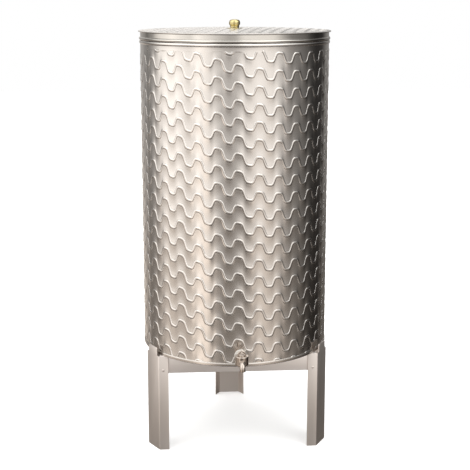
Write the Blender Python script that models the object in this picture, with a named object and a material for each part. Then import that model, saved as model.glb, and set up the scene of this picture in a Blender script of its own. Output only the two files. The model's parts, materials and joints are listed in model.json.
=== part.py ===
# Small upright storage drum in sheet steel: a round tank with a lift-off lid, a tap at the foot
# of the wall, and a three-legged stand of folded sheet that holds the tank clear of the floor.
# Metres, +Z up. The floor is Z = 0, the tap points to -Y, and the origin lies under the middle
# of the whole object's box, so the tank's own axis stands a little behind it.
from math import cos, pi, radians, sin, sqrt, tan

import bmesh
import bpy
from mathutils import Matrix, Vector

# Driving dimensions of the tank; SEAT is the air left between pieces that touch, and CUT_PAST is
# how far a cutter runs past the piece it cuts
TANK_RADIUS = 0.210
TANK_HEIGHT = 0.712
SHEET = 0.0008
ROUND_STEPS = 72
BEAD_STEPS = 6
SEAT = 0.0003
CUT_PAST = 0.010

# Lid: a low crown, a thin rolled rim, and a skirt that slips over the tank's neck
LID_RIM_RADIUS = 0.2146
LID_RIM_HEIGHT = 0.003
LID_CROWN = 0.004
SKIRT_HEIGHT = 0.0172
SKIRT_BEAD = 0.0022
SKIRT_BEAD_HEIGHT = 0.005
LID_LIFT_SLOT = 0.0032
LID_EDGE_FLAT = 0.0042
LID_EDGE_ROUND = 0.0009

# Tank wall: a swaged ring carries the lid, and the neck above it is drawn in
HOOP_BEAD = 0.002
HOOP_HEIGHT = 0.009
NECK_INSET = 0.0022
NECK_HEM = 0.0024
NECK_HEM_HEIGHT = 0.0035
BOTTOM_RIM_HEIGHT = 0.0075
BOTTOM_RIM_DEPTH = 0.0016
BOTTOM_RIM_ROUND = 0.0006
BOTTOM_RAISE = 0.0085
BOTTOM_DISH = 0.004
BOTTOM_SLOPE = ((0.0, 1.0), (0.35, 0.82), (0.7, 0.35))
BOTTOM_BEND = 0.006
BOTTOM_BEND_DROP = 0.003

# Knob on the lid
KNOB_RADIUS = 0.0125
KNOB_HEIGHT = 0.0175
KNOB_NECK_RADIUS = 0.0092
KNOB_WASHER_RADIUS = 0.0172
KNOB_WASHER_HEIGHT = 0.002
WASHER_EDGE = 0.0006
KNOB_TOP_STEPS = 5
KNOB_TOP_SHARE = 0.42
STUD_RADIUS = 0.0025
STUD_HOLE_RADIUS = 0.0030
LID_NUT_FLATS = 0.010
LID_NUT_HEIGHT = 0.004
STUD_PAST_NUT = 0.003

# Tap: a short plug cock on a welded boss, with a loop handle on top and a spout turned down
TAP_HEIGHT = 0.024
BOSS_RADIUS = 0.0125
BOSS_LENGTH = 0.008
BOSS_INSIDE = 0.003
TAIL_RADIUS = 0.0085
GASKET_RADIUS = 0.0122
GASKET_THICKNESS = 0.0015
COLLAR_FLATS = 0.024
COLLAR_THICKNESS = 0.006
NECK_RADIUS = 0.0080
JOIN = 0.001
BARREL_REACH = 0.032
BARREL_RADIUS = 0.0145
BARREL_LOW = 0.0155
BARREL_TOP = 0.0325
BARREL_EDGE = 0.0012
SPOUT_RADIUS = 0.0062
SPOUT_BORE = 0.0042
SPOUT_BEND = 0.0100
SPOUT_REACH = 0.0550
SPOUT_TIP = 0.0080
SPOUT_BEND_STEPS = 6
SPOUT_DROP = 0.0015
SPOUT_START = 0.003
BASE_CAP_RADIUS = 0.0105
BASE_CAP_HEIGHT = 0.0030
BASE_CAP_SPIGOT = 0.0070
BASE_CAP_EDGE = 0.001
SPIGOT_DEPTH = 0.0025
GLAND_FLATS = 0.0170
GLAND_HEIGHT = 0.0016
STEM_RADIUS = 0.0040
STEM_FOOT = 0.0245
STEM_IN_HUB = 0.0022
TAP_STEPS = 32

# Loop handle of the tap, standing on the stem
HANDLE_WIDTH = 0.0200
HANDLE_TOP = 0.0480
HANDLE_THICKNESS = 0.0050
HANDLE_HUB_RADIUS = 0.0064
HANDLE_HUB_HEIGHT = 0.0034
HANDLE_OPENING = 0.0046
HANDLE_OPENING_RISE = 0.0018
HANDLE_OPENING_IN_HUB = 0.0008
HANDLE_FOOT = 0.0051
HANDLE_ARC_BELOW = 12

# Stand: three channel legs at the cut corners of a triangle, and three rails between them
LEG_HEIGHT = 0.2220
SIDE_APOTHEM = 0.1325
LEG_WEB_WIDTH = 0.0510
LEG_FLANGE = 0.0220
LEG_SHEET = 0.0020
LEG_BEND_RADIUS = 0.0035
TAB_HEIGHT = 0.0180
TAB_NOTCH = 0.0080
TAB_CORNER = 0.002
RAIL_HEIGHT = 0.0400
RAIL_SHEET = 0.0015
RAIL_LIP = 0.0140
RAIL_END = 0.0030
RAIL_BEND_RADIUS = 0.0024
BEND_STEPS = 4

# Places that follow from the sizes above
CORNER_HALF = sqrt(3) * SIDE_APOTHEM - LEG_WEB_WIDTH
WEB_DISTANCE = CORNER_HALF * cos(radians(30)) + SIDE_APOTHEM / 2
TAP_REACH = TANK_RADIUS + SPOUT_REACH + SPOUT_RADIUS
AXIS_Y = (TAP_REACH - WEB_DISTANCE) / 2
BASE_Z = LEG_HEIGHT
LID_Z = BASE_Z + TANK_HEIGHT
STEM_Y = AXIS_Y - TANK_RADIUS - BARREL_REACH


def clear_scene():
    for old in list(bpy.data.objects):
        bpy.data.objects.remove(old, do_unlink=True)


def principled(name, colour, metallic, roughness):
    material = bpy.data.materials.new(name)
    material.use_nodes = True
    shader = material.node_tree.nodes["Principled BSDF"]
    shader.inputs["Base Color"].default_value = (*colour, 1.0)
    shader.inputs["Metallic"].default_value = metallic
    shader.inputs["Roughness"].default_value = roughness
    return material


def steel(name):
    return principled(name, (0.62, 0.60, 0.57), 1.0, 0.30)


def chrome(name):
    return principled(name, (0.72, 0.70, 0.68), 1.0, 0.12)


def brass(name):
    return principled(name, (0.72, 0.58, 0.26), 1.0, 0.25)


def seal(name):
    return principled(name, (0.78, 0.77, 0.72), 0.0, 0.55)


def add_object(name, bm, material, smooth=True):
    bmesh.ops.recalc_face_normals(bm, faces=bm.faces)
    mesh = bpy.data.meshes.new(name)
    bm.to_mesh(mesh)
    bm.free()
    if smooth:
        mesh.shade_smooth()
        mesh.set_sharp_from_angle(angle=radians(32))
    mesh.materials.append(material)
    made = bpy.data.objects.new(name, mesh)
    bpy.context.collection.objects.link(made)
    return made


def turned(name, profile, material, steps=ROUND_STEPS):
    """A closed profile of (radius, height) points, spun round Z."""
    bm = bmesh.new()
    points = [bm.verts.new((r, 0.0, z)) for r, z in profile]
    on_axis = profile[0][0] == 0.0 and profile[-1][0] == 0.0
    edges = [bm.edges.new(pair) for pair in zip(points, points[1:])]
    if not on_axis:
        edges.append(bm.edges.new((points[-1], points[0])))
    bmesh.ops.spin(bm, geom=points + edges, cent=(0, 0, 0), axis=(0, 0, 1), angle=2 * pi, steps=steps)
    bmesh.ops.remove_doubles(bm, verts=bm.verts, dist=0.00001)
    return add_object(name, bm, material)


def prism(name, outline, low, high, material, smooth=False):
    """A flat outline of (x, y) points, extruded from one height to another."""
    bm = bmesh.new()
    floor = bm.faces.new([bm.verts.new((x, y, low)) for x, y in outline])
    raised = bmesh.ops.extrude_face_region(bm, geom=[floor])["geom"]
    moved = [item for item in raised if isinstance(item, bmesh.types.BMVert)]
    bmesh.ops.translate(bm, verts=moved, vec=(0, 0, high - low))
    return add_object(name, bm, material, smooth)


def hexagon(flats, turn=0.0):
    reach = flats / sqrt(3)
    corners = [radians(60 * i) + turn for i in range(6)]
    return [(reach * cos(a), reach * sin(a)) for a in corners]


def arc_points(radius, count, centre=(0.0, 0.0), start=0.0, sweep=2 * pi):
    angles = [start + sweep * i / count for i in range(count + (sweep < 2 * pi))]
    return [(centre[0] + radius * cos(a), centre[1] + radius * sin(a)) for a in angles]


def rod(name, radius, low, high, material):
    """A round bar, turned half a step from the pieces made by turned."""
    outline = arc_points(radius, TAP_STEPS, (0.0, 0.0), pi / TAP_STEPS)
    return prism(name, outline, low, high, material)


def boolean(target, tool, operation):
    """Applies one exact Boolean to the target and removes the tool."""
    modifier = target.modifiers.new("cut", "BOOLEAN")
    modifier.operation = operation
    modifier.solver = "EXACT"
    modifier.object = tool
    bpy.context.view_layer.update()
    evaluated = target.evaluated_get(bpy.context.evaluated_depsgraph_get())
    result = bpy.data.meshes.new_from_object(evaluated)
    target.modifiers.clear()
    target.data = result
    bpy.data.objects.remove(tool, do_unlink=True)
    return target


def apply_place(target, matrix):
    target.data.transform(matrix)
    target.data.update()
    return target


def bend_path(corners, radius, steps):
    """Rounds a bent line. Gives (point, outward normal) pairs on its outer face; the sheet turns left."""
    path = []
    for i, here in enumerate(corners):
        here = Vector(here)
        before = here - Vector(corners[i - 1]) if i > 0 else None
        after = Vector(corners[i + 1]) - here if i + 1 < len(corners) else None
        if before is None or after is None:
            along = (after or before).normalized()
            path.append((here, Vector((along.y, -along.x))))
            continue
        start, end = before.normalized(), after.normalized()
        turn = start.angle_signed(end) * -1
        back = radius * tan(turn / 2)
        first_normal = Vector((start.y, -start.x))
        centre = here - start * back - first_normal * radius
        for k in range(steps + 1):
            normal = Matrix.Rotation(turn * k / steps, 2) @ first_normal
            path.append((centre + normal * radius, normal))
    return path


def folded_sheet(name, path, thickness, levels, keep, material):
    """A folded sheet. Its outer face follows path, it rises through levels, and keep says which
    cells of the unfolded sheet are there. levels gives each station's own heights."""
    bm = bmesh.new()
    rows = len(levels(0))
    outer, inner = {}, {}
    used = set()
    for i in range(len(path) - 1):
        for j in range(rows - 1):
            if keep(i, j):
                used.update([(i, j), (i + 1, j), (i, j + 1), (i + 1, j + 1)])
    for i, j in sorted(used):
        point, normal = path[i]
        height = levels(i)[j]
        back = point - normal * thickness
        outer[i, j] = bm.verts.new((point.x, point.y, height))
        inner[i, j] = bm.verts.new((back.x, back.y, height))
    rims = {}
    for i in range(len(path) - 1):
        for j in range(rows - 1):
            if not keep(i, j):
                continue
            loop = [(i, j), (i + 1, j), (i + 1, j + 1), (i, j + 1)]
            bm.faces.new([outer[k] for k in loop])
            bm.faces.new([inner[k] for k in reversed(loop)])
            for a, b in zip(loop, loop[1:] + loop[:1]):
                if (b, a) in rims:
                    del rims[b, a]
                else:
                    rims[a, b] = True
    for a, b in rims:
        bm.faces.new([outer[b], outer[a], inner[a], inner[b]])
    return add_object(name, bm, material)


def make_tank_wall():
    """The shell: plain wall, swaged ring under the lid, drawn-in neck with a hemmed edge."""
    radius = TANK_RADIUS
    skirt_foot = TANK_HEIGHT - LID_RIM_HEIGHT - SEAT - SKIRT_HEIGHT
    hoop_top = skirt_foot - SEAT
    hoop_low = hoop_top - HOOP_HEIGHT
    neck_top = TANK_HEIGHT - LID_RIM_HEIGHT - LID_LIFT_SLOT + SEAT
    neck = radius - NECK_INSET
    foot = SHEET + 2 * SEAT
    outer = [(radius, foot), (radius, hoop_low)]
    swell = [pi * k / BEAD_STEPS for k in range(1, BEAD_STEPS)]
    bead = [(radius + HOOP_BEAD * sin(a), hoop_low + HOOP_HEIGHT * (1 - cos(a)) / 2) for a in swell]
    outer += bead
    outer += [(radius, hoop_top), (neck, hoop_top), (neck, neck_top)]
    hem = neck - NECK_HEM
    inner = [(hem, neck_top), (hem, neck_top - NECK_HEM_HEIGHT)]
    inner += [(neck - SHEET, neck_top - NECK_HEM_HEIGHT), (neck - SHEET, hoop_top - SHEET)]
    inner += [(radius - SHEET, hoop_top - 2 * SHEET)]
    inner += [(r - SHEET, z) for r, z in reversed(bead)]
    inner += [(radius - SHEET, hoop_low), (radius - SHEET, foot)]
    wall = turned("tank_wall", outer + inner, steel("wall steel"))
    hole = rod("hole", BOSS_RADIUS + SEAT, -CUT_PAST, CUT_PAST, wall.data.materials[0])
    apply_place(hole, along_tap())
    boolean(wall, hole, "DIFFERENCE")
    return wall


def make_tank_bottom():
    """A pressed dish set inside the wall, with its edge turned down into the rim."""
    edge = TANK_RADIUS - SHEET - SEAT
    foot = SHEET + 2 * SEAT
    top = BOTTOM_RAISE
    slope = [(share * edge, top - BOTTOM_DISH * drop) for share, drop in BOTTOM_SLOPE]
    outer = slope + [(edge - BOTTOM_BEND, top), (edge, top - BOTTOM_BEND_DROP), (edge, foot)]
    inner = [(edge - SHEET, foot), (edge - SHEET, top - BOTTOM_BEND_DROP - SHEET / 2)]
    inner += [(edge - BOTTOM_BEND - SHEET / 2, top - SHEET)]
    inner += [(r, z - SHEET) for r, z in reversed(slope)]
    return turned("tank_bottom", outer + inner, steel("bottom steel"))


def make_bottom_rim():
    """The folded chime that takes the wall's foot and the bottom's edge."""
    inside = TANK_RADIUS - 2 * SHEET - 3 * SEAT
    outside = TANK_RADIUS + BOTTOM_RIM_DEPTH
    soft, top = BOTTOM_RIM_ROUND, BOTTOM_RIM_HEIGHT
    profile = [(outside - soft, 0.0), (outside, soft), (outside, top - soft), (outside - soft, top)]
    profile += [(TANK_RADIUS + SEAT, top), (TANK_RADIUS + SEAT, SHEET + SEAT)]
    profile += [(inside, SHEET + SEAT), (inside, 0.0)]
    return turned("bottom_rim", profile, steel("rim steel"))


def crown(radius):
    return LID_CROWN * (1 - (radius / LID_RIM_RADIUS) ** 2)


def make_lid_plate():
    """The lid's crowned disc with its rolled rim, pierced for the knob's stud."""
    low = -LID_RIM_HEIGHT
    rim = LID_RIM_RADIUS
    flat = rim - LID_EDGE_FLAT
    radii = [STUD_HOLE_RADIUS] + [flat * share for share in (0.23, 0.46, 0.69, 0.92, 1.0)]
    top = [(r, crown(r)) for r in radii]
    soft = LID_EDGE_ROUND
    edge = [(rim - soft, 0.0), (rim, -soft), (rim, low + soft), (rim - soft, low), (flat, low)]
    under = [(r, crown(r) - SHEET) for r in reversed(radii)]
    return turned("lid_plate", top + edge + under, steel("lid steel"))


def make_lid_skirt():
    """The band under the lid, hemmed outwards at its foot."""
    top = -LID_RIM_HEIGHT - SEAT
    low = top - SKIRT_HEIGHT
    radius = TANK_RADIUS
    profile = [(radius, top), (radius, low + SKIRT_BEAD_HEIGHT)]
    for k in range(1, BEAD_STEPS):
        turn = pi * k / BEAD_STEPS
        height = low + SKIRT_BEAD_HEIGHT * (1 + cos(turn)) / 2
        profile.append((radius + SKIRT_BEAD * sin(turn), height))
    profile += [(radius, low), (radius - SHEET, low), (radius - SHEET, top)]
    return turned("lid_skirt", profile, steel("skirt steel"))


def make_knob():
    """Knob with its stud in one piece, a flat washer under it and a nut inside the lid."""
    top = crown(STUD_RADIUS)
    under = top - SHEET
    washer_low = top + SEAT
    washer_top = washer_low + KNOB_WASHER_HEIGHT
    edge = KNOB_WASHER_RADIUS
    washer = [(STUD_HOLE_RADIUS, washer_low), (STUD_HOLE_RADIUS, washer_top)]
    washer += [(edge - WASHER_EDGE, washer_top), (edge, washer_top - WASHER_EDGE), (edge, washer_low)]
    made = [turned("lid_washer", washer, brass("washer brass"), TAP_STEPS)]
    base = washer_top + SEAT
    height = KNOB_HEIGHT
    nut_low = under - SEAT - LID_NUT_HEIGHT
    profile = [(0.0, nut_low - STUD_PAST_NUT), (STUD_RADIUS, nut_low - STUD_PAST_NUT), (STUD_RADIUS, base)]
    profile += [(KNOB_NECK_RADIUS, base), (KNOB_NECK_RADIUS, base + 0.10 * height)]
    profile += [(KNOB_RADIUS * 0.90, base + 0.26 * height), (KNOB_RADIUS, base + 0.42 * height)]
    for k in range(KNOB_TOP_STEPS):
        turn = pi / 2 * k / KNOB_TOP_STEPS
        rise = 1 - KNOB_TOP_SHARE * (1 - sin(turn))
        profile.append((KNOB_RADIUS * cos(turn), base + height * rise))
    profile.append((0.0, base + height))
    made.append(turned("lid_knob", profile, brass("knob brass"), TAP_STEPS))
    nut = prism("lid_nut", hexagon(LID_NUT_FLATS), nut_low, under - SEAT, steel("lid nut steel"))
    bore = rod("bore", STUD_RADIUS + SEAT, nut_low - CUT_PAST, under + CUT_PAST, nut.data.materials[0])
    made.append(boolean(nut, bore, "DIFFERENCE"))
    return made


def along_tap(reach=0.0):
    """Turns a shape made along +Z so that +Z points out of the tank wall, at a reach from it."""
    return Matrix.Translation((0, -TANK_RADIUS - reach, TAP_HEIGHT)) @ Matrix.Rotation(pi / 2, 4, "X")


def ring(name, inside, outside, low, high, material):
    corners = [(inside, low), (inside, high), (outside, high), (outside, low)]
    return turned(name, corners, material, TAP_STEPS)


def swept_rod(name, centres, radius, material):
    """A round rod along points in the YZ plane, ending square to its first and last stretch."""
    bm = bmesh.new()
    points = [Vector((0, y, z)) for y, z in centres]
    rings = []
    for i, here in enumerate(points):
        along = points[min(i + 1, len(points) - 1)] - points[max(i - 1, 0)]
        across = Vector((1, 0, 0))
        up = along.normalized().cross(across)
        circle = arc_points(radius, TAP_STEPS)
        rings.append([bm.verts.new(here + across * x + up * y) for x, y in circle])
    for lower, upper in zip(rings, rings[1:]):
        for k in range(TAP_STEPS):
            after = (k + 1) % TAP_STEPS
            bm.faces.new([lower[k], lower[after], upper[after], upper[k]])
    bm.faces.new(rings[0])
    bm.faces.new(list(reversed(rings[-1])))
    return add_object(name, bm, material)


def make_tap_boss():
    """Threaded boss welded into the wall, and the gasket the tap's collar presses on it."""
    bore = TAIL_RADIUS + SEAT
    boss = ring("tap_boss", bore, BOSS_RADIUS, -BOSS_INSIDE, BOSS_LENGTH, steel("boss steel"))
    low = BOSS_LENGTH + SEAT
    gasket = ring("tap_gasket", bore, GASKET_RADIUS, low, low + GASKET_THICKNESS, seal("gasket seal"))
    return [apply_place(piece, along_tap()) for piece in (boss, gasket)]


def make_tap_body():
    """Cock body in one casting: tail, hexagon collar, neck, upright barrel and spout."""
    plating = chrome("tap chrome")
    collar_low = BOSS_LENGTH + GASKET_THICKNESS + 2 * SEAT
    collar_high = collar_low + COLLAR_THICKNESS
    edge = BARREL_EDGE
    on_barrel = Matrix.Translation((0, -TANK_RADIUS - BARREL_REACH, 0))
    low, high = BARREL_LOW, BARREL_TOP
    barrel = [(0.0, low), (BARREL_RADIUS - edge, low), (BARREL_RADIUS, low + edge)]
    barrel += [(BARREL_RADIUS, high - edge), (BARREL_RADIUS - edge, high), (0.0, high)]
    body = turned("tap_body", barrel, plating, TAP_STEPS)
    apply_place(body, on_barrel)
    tail = rod("tail", TAIL_RADIUS, -BOSS_INSIDE + JOIN, collar_low + JOIN, plating)
    boolean(body, apply_place(tail, along_tap()), "UNION")
    neck = rod("neck", NECK_RADIUS, 0.0, BARREL_REACH, plating)
    boolean(body, apply_place(neck, along_tap()), "UNION")
    collar = prism("collar", hexagon(COLLAR_FLATS), collar_low, collar_high, plating)
    boolean(body, apply_place(collar, along_tap()), "UNION")
    bend_y = -TANK_RADIUS - SPOUT_REACH + SPOUT_BEND
    bend_z = TAP_HEIGHT - SPOUT_DROP - SPOUT_BEND
    centres = [(-TANK_RADIUS - BARREL_REACH - SPOUT_START, bend_z + SPOUT_BEND)]
    for k in range(SPOUT_BEND_STEPS + 1):
        turn = pi / 2 * k / SPOUT_BEND_STEPS
        centres.append((bend_y - SPOUT_BEND * sin(turn), bend_z + SPOUT_BEND * cos(turn)))
    centres.append((bend_y - SPOUT_BEND, SPOUT_TIP))
    boolean(body, swept_rod("spout", centres, SPOUT_RADIUS, plating), "UNION")
    stem_hole = rod("stem hole", STEM_RADIUS + SEAT, STEM_FOOT - SEAT, high + CUT_PAST, plating)
    boolean(body, apply_place(stem_hole, on_barrel), "DIFFERENCE")
    spigot_top = low + SPIGOT_DEPTH + SEAT
    spigot_hole = rod("spigot hole", BASE_CAP_SPIGOT + SEAT, low - CUT_PAST, spigot_top, plating)
    boolean(body, apply_place(spigot_hole, on_barrel), "DIFFERENCE")
    bore = rod("bore", SPOUT_BORE, SPOUT_TIP - CUT_PAST, bend_z, plating)
    apply_place(bore, Matrix.Translation((0, -TANK_RADIUS - SPOUT_REACH, 0)))
    boolean(body, bore, "DIFFERENCE")
    body.data.shade_smooth()
    body.data.set_sharp_from_angle(angle=radians(32))
    return body


def make_tap_caps():
    """Base cap screwed in under the barrel, and the gland nut that holds the stem down."""
    low = BARREL_LOW - SEAT
    foot = low - BASE_CAP_HEIGHT
    cap = [(0.0, foot), (BASE_CAP_RADIUS - BASE_CAP_EDGE, foot), (BASE_CAP_RADIUS, foot + BASE_CAP_EDGE)]
    cap += [(BASE_CAP_RADIUS, low), (BASE_CAP_SPIGOT, low)]
    cap += [(BASE_CAP_SPIGOT, BARREL_LOW + SPIGOT_DEPTH), (0.0, BARREL_LOW + SPIGOT_DEPTH)]
    base = turned("tap_base_cap", cap, chrome("base cap chrome"), TAP_STEPS)
    gland_low = BARREL_TOP + SEAT
    gland_top = gland_low + GLAND_HEIGHT
    gland = prism("tap_gland", hexagon(GLAND_FLATS), gland_low, gland_top, chrome("gland chrome"))
    low, high = gland_low - CUT_PAST, gland_top + CUT_PAST
    hole = rod("bore", STEM_RADIUS + SEAT, low, high, gland.data.materials[0])
    boolean(gland, hole, "DIFFERENCE")
    for piece in (base, gland):
        apply_place(piece, Matrix.Translation((0, -TANK_RADIUS - BARREL_REACH, 0)))
    return [base, gland]


def make_tap_key():
    """Stem and loop handle, which turn together; their origin lies on the stem's axis."""
    hub_low = BARREL_TOP + GLAND_HEIGHT + 2 * SEAT
    hub_high = hub_low + HANDLE_HUB_HEIGHT
    stem_top = hub_low + STEM_IN_HUB
    stem = [(0.0, STEM_FOOT), (STEM_RADIUS, STEM_FOOT), (STEM_RADIUS, stem_top), (0.0, stem_top)]
    made = [turned("tap_stem", stem, chrome("stem chrome"), TAP_STEPS)]
    half = HANDLE_WIDTH / 2
    centre = HANDLE_TOP - half
    plating = chrome("handle chrome")
    outline = [(-HANDLE_FOOT, hub_low + JOIN), (HANDLE_FOOT, hub_low + JOIN)]
    below = radians(HANDLE_ARC_BELOW)
    outline += arc_points(half, 20, (0, centre), -below, pi + 2 * below)
    thick = HANDLE_THICKNESS / 2
    handle = prism("tap_handle", outline, -thick, thick, plating)
    stand_up = Matrix.Rotation(pi / 2, 4, "X")
    apply_place(handle, stand_up)
    opening = arc_points(HANDLE_OPENING, 16, (0, centre + HANDLE_OPENING_RISE), 0.0, pi)
    opening_low = hub_high - HANDLE_OPENING_IN_HUB
    opening += [(-HANDLE_OPENING, opening_low), (HANDLE_OPENING, opening_low)]
    cutter = prism("opening", opening, -CUT_PAST, CUT_PAST, plating)
    boolean(handle, apply_place(cutter, stand_up), "DIFFERENCE")
    hub = rod("hub", HANDLE_HUB_RADIUS, hub_low, hub_high, plating)
    boolean(handle, hub, "UNION")
    hole = rod("stem hole", STEM_RADIUS + SEAT, hub_low - CUT_PAST, stem_top + SEAT, plating)
    boolean(handle, hole, "DIFFERENCE")
    handle.data.shade_smooth()
    handle.data.set_sharp_from_angle(angle=radians(32))
    made.append(handle)
    return made


def make_leg(name, turn):
    """One channel leg: a web square to the tank's radius, with its two flanges lying along the
    stand's long sides. The web rises past the flanges as a tab that keeps the tank in place."""
    half = LEG_WEB_WIDTH / 2
    along = Vector((sin(radians(30)), -cos(radians(30)))) * LEG_FLANGE
    right = Vector((half, WEB_DISTANCE))
    left = Vector((-half, WEB_DISTANCE))
    end = right + along
    corners = [(end.x, end.y), tuple(right), tuple(left), (-end.x, end.y)]
    path = bend_path(corners, LEG_BEND_RADIUS, BEND_STEPS)
    tab = half - TAB_NOTCH
    outward = Vector((0, 1))
    middle = len(path) // 2
    added = [(Vector((x, WEB_DISTANCE)), outward) for x in (tab, tab - TAB_CORNER, TAB_CORNER - tab, -tab)]
    path = path[:middle] + added + path[middle:]
    flange_top = LEG_HEIGHT - SEAT
    tab_top = LEG_HEIGHT + TAB_HEIGHT

    def levels(i):
        on_edge = i in (middle, middle + 3)
        return [0.0, flange_top, tab_top - (TAB_CORNER if on_edge else 0.0)]

    def keep(i, j):
        return j == 0 or middle <= i < middle + 3

    leg = folded_sheet(name, path, LEG_SHEET, levels, keep, steel(name + " steel"))
    return apply_place(leg, Matrix.Rotation(turn, 4, "Z"))


def make_rail(name, turn):
    """One rail: a strip behind the two legs' flanges, with its top edge folded in under the tank."""
    face = SIDE_APOTHEM - LEG_SHEET - SEAT
    half = CORNER_HALF - RAIL_END
    section = [(face, -RAIL_HEIGHT), (face, 0.0), (face - RAIL_LIP, 0.0)]
    path = bend_path(section, RAIL_BEND_RADIUS, BEND_STEPS)
    ends = [-half, half]
    rail = folded_sheet(name, path, RAIL_SHEET, lambda i: ends, lambda i, j: True, steel(name + " steel"))
    lay_down = Matrix(((0, 0, -1, 0), (-1, 0, 0, 0), (0, 1, 0, LEG_HEIGHT - SEAT), (0, 0, 0, 1)))
    return apply_place(rail, Matrix.Rotation(turn, 4, "Z") @ lay_down)


def set_down(pieces, place):
    for piece in pieces:
        piece.location = place


clear_scene()
set_down([make_tank_wall(), make_tank_bottom(), make_bottom_rim()], (0, AXIS_Y, BASE_Z))
set_down([make_lid_plate(), make_lid_skirt()], (0, AXIS_Y, LID_Z))
set_down(make_knob(), (0, AXIS_Y, LID_Z))
set_down(make_tap_boss() + [make_tap_body()] + make_tap_caps(), (0, AXIS_Y, BASE_Z))
set_down(make_tap_key(), (0, STEM_Y, BASE_Z))
for place, turn in (("rear", 0.0), ("left", 120.0), ("right", 240.0)):
    set_down([make_leg("leg_" + place, radians(turn))], (0, AXIS_Y, 0))
for place, turn in (("front", 0.0), ("right", 120.0), ("left", 240.0)):
    set_down([make_rail("rail_" + place, radians(turn))], (0, AXIS_Y, 0))
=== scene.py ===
# An upright storage drum in stainless sheet on a three-legged stand, dressed over its solids:
# wave-ribbed wall and lid, brass knob, plated tap, folded stand, and the studio it stands in.
import json
from math import atan2, cos, hypot, pi, radians, sin, sqrt, tan, tanh

import bmesh
import bpy
from mathutils import Matrix, Vector

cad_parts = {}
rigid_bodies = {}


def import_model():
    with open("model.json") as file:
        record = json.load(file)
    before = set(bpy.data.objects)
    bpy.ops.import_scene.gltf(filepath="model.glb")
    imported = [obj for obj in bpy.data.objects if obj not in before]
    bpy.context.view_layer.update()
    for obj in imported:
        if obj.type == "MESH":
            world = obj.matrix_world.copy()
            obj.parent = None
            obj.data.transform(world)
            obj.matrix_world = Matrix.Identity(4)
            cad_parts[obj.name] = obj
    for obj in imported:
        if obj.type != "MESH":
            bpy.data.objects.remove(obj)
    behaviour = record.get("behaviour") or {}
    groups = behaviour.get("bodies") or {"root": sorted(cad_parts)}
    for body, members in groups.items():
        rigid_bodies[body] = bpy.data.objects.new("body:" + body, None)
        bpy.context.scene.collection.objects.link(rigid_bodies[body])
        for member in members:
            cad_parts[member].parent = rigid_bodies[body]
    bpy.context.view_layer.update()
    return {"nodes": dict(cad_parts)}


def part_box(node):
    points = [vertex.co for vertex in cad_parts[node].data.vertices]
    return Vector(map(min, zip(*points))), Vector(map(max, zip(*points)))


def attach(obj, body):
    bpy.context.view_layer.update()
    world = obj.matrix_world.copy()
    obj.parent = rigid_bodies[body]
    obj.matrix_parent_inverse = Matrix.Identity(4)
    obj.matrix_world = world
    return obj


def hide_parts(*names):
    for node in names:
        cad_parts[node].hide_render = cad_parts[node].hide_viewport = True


for old in list(bpy.data.objects):
    bpy.data.objects.remove(old, do_unlink=True)
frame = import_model()

# The shell of the tank is one sheet, embossed with rows of waves, then rolled and seam welded. It
# has a swaged ring that carries the lid and a drawn-in neck with a hemmed edge. Between the plain
# foot and a plain strip under the ring, the outer face swells towards each row of waves.
SHEET = 0.0008
SEAT = 0.0003
CUT_EDGE = 0.0002
TIGHT_FOLD = 0.0004
FOLD = 0.0006
HEM_FOLD = 0.0011
HOOP_BEAD = 0.002
HOOP_HEIGHT = 0.0070
HOOP_FILLET = 0.0008
BEAD_STEPS = 8
NECK_INSET = 0.0022
HEM_DEPTH = 0.0024
HEM_HEIGHT = 0.0035
SHELL_STEPS = 288
ROWS = 20
ROW_PITCH = 0.0368
LOWEST_ROW = -0.0076
ROW_SINK = 0.0310
SINK_ONCE = 1.2
SINK_THRICE = 0.2
SINK_TURN = radians(-108.7)
WAVES = 30
WAVE_RISE = 0.0200
WAVE_SQUARE = 2.1
WAVE_TURN = radians(4.9)
SWELL = 0.0006
SWELL_SINK = 0.0002
SWELL_FADE = 0.008
SWELL_LINES = (-0.72, -0.44, -0.20, 0.0, 0.20, 0.44, 0.72, 1.0)
SWELL_STEPS = 14
PLAIN_FOOT = 0.0005
PLAIN_TOP = 0.0080
RING_GAP = 0.0001
shell_low, shell_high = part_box("tank_wall")
rim_low, rim_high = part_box("bottom_rim")
lid_low, lid_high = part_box("lid_plate")
skirt_low, skirt_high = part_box("lid_skirt")
tank_axis = Vector((0.0, (rim_low.y + rim_high.y) / 2, 0.0))
at_tank = Matrix.Translation(tank_axis)
wall_radius = (shell_high.x - shell_low.x) / 2 - HOOP_BEAD
base_z = rim_low.z


def filleted(corners, steps=4):
    """Points of a profile, from corners of (radius, height, fillet)."""
    points = []
    for i, (r, z, fillet) in enumerate(corners):
        here = Vector((r, z))
        if fillet == 0.0:
            points.append(here)
            continue
        before = Vector(corners[i - 1][:2]) - here
        after = Vector(corners[(i + 1) % len(corners)][:2]) - here
        half = before.angle(after) / 2
        reach = min(fillet / tan(half), before.length * 0.49, after.length * 0.49)
        radius = reach * tan(half)
        middle = here + (before.normalized() + after.normalized()).normalized() * (radius / sin(half))
        first = here + before.normalized() * reach - middle
        last = here + after.normalized() * reach - middle
        for k in range(steps + 1):
            points.append(middle + first.lerp(last, k / steps).normalized() * radius)
    return points


def bead_points(radius, low, height, proud):
    """Corners of a half-round bead on an upright face, from its foot up."""
    bulges = [pi * k / BEAD_STEPS for k in range(1, BEAD_STEPS)]
    return [(radius + proud * sin(a), low + height * (1 - cos(a)) / 2, 0.0) for a in bulges]


def shade(mesh, angle):
    """Smooth, except where faces meet at more than an angle in degrees."""
    mesh.shade_smooth()
    mesh.set_sharp_from_angle(angle=radians(angle))


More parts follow.
